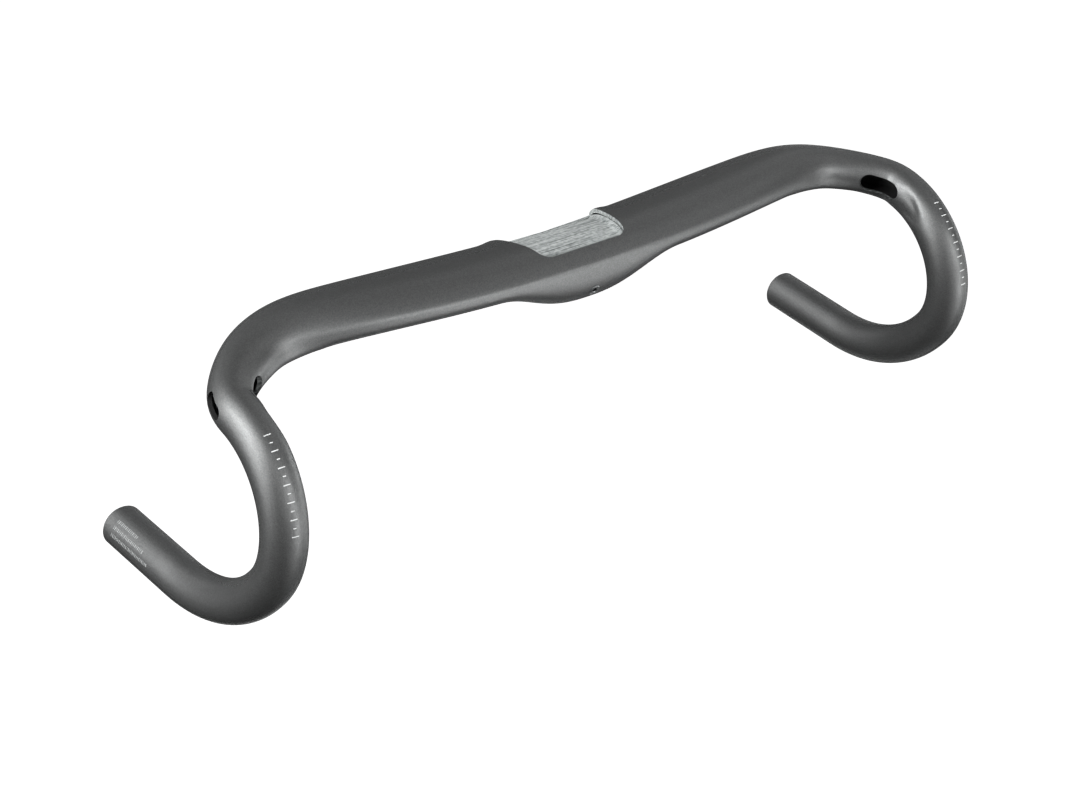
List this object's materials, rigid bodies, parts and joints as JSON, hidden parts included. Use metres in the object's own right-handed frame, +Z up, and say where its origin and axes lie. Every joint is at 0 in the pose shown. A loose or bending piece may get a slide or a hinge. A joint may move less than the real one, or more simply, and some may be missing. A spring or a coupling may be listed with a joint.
{
  "type": "drop handlebar",
  "caption": "Aero drop handlebar with flat wing top, recessed stem seat, nose fairing, hose windows at the bends and flared compact drops with end plugs.",
  "frame": {"origin": "Centre of the stem seat, in the middle of the wing section.", "axes": "+X is the rider's right, +Y is forward, +Z is up."},
  "size_m": [0.5012, 0.1675, 0.1542],
  "materials": {
    "carbon_paint": "satin graphite paint with fine metal flake",
    "bare_fibre": "sanded pale glass-fibre laminate",
    "insert_metal": "dark turned steel",
    "scale_ink": "white printed ink",
    "plug_plastic": "moulded black plastic",
    "plug_rubber": "moulded black rubber"
  },
  "bodies": {
    "bar": {"wing_upper": "carbon_paint", "wing_lower": "carbon_paint", "stem_core": "bare_fibre", "nose_insert": "insert_metal", "wing_joiner_right": "bare_fibre", "wing_joiner_left": "bare_fibre", "bend_right": "carbon_paint", "bend_left": "carbon_paint", "hook_joiner_right": "bare_fibre", "hook_joiner_left": "bare_fibre", "hook_right": "carbon_paint", "hook_left": "carbon_paint", "drop_right": "carbon_paint", "drop_left": "carbon_paint", "lever_scale_right": "scale_ink", "lever_scale_left": "scale_ink"},
    "plug_right": {"plug_cap_right": "plug_plastic", "plug_sleeve_right": "plug_rubber"},
    "plug_left": {"plug_cap_left": "plug_plastic", "plug_sleeve_left": "plug_rubber"}
  },
  "joints": [
    {"name": "plug_pull_right", "type": "slide", "parent": "bar", "child": "plug_right", "axis": [0.0437, -0.9953, 0.0869], "range_m": [0, 0.04]},
    {"name": "plug_pull_left", "type": "slide", "parent": "bar", "child": "plug_left", "axis": [-0.0437, -0.9953, 0.0869], "range_m": [0, 0.04]}
  ]
}
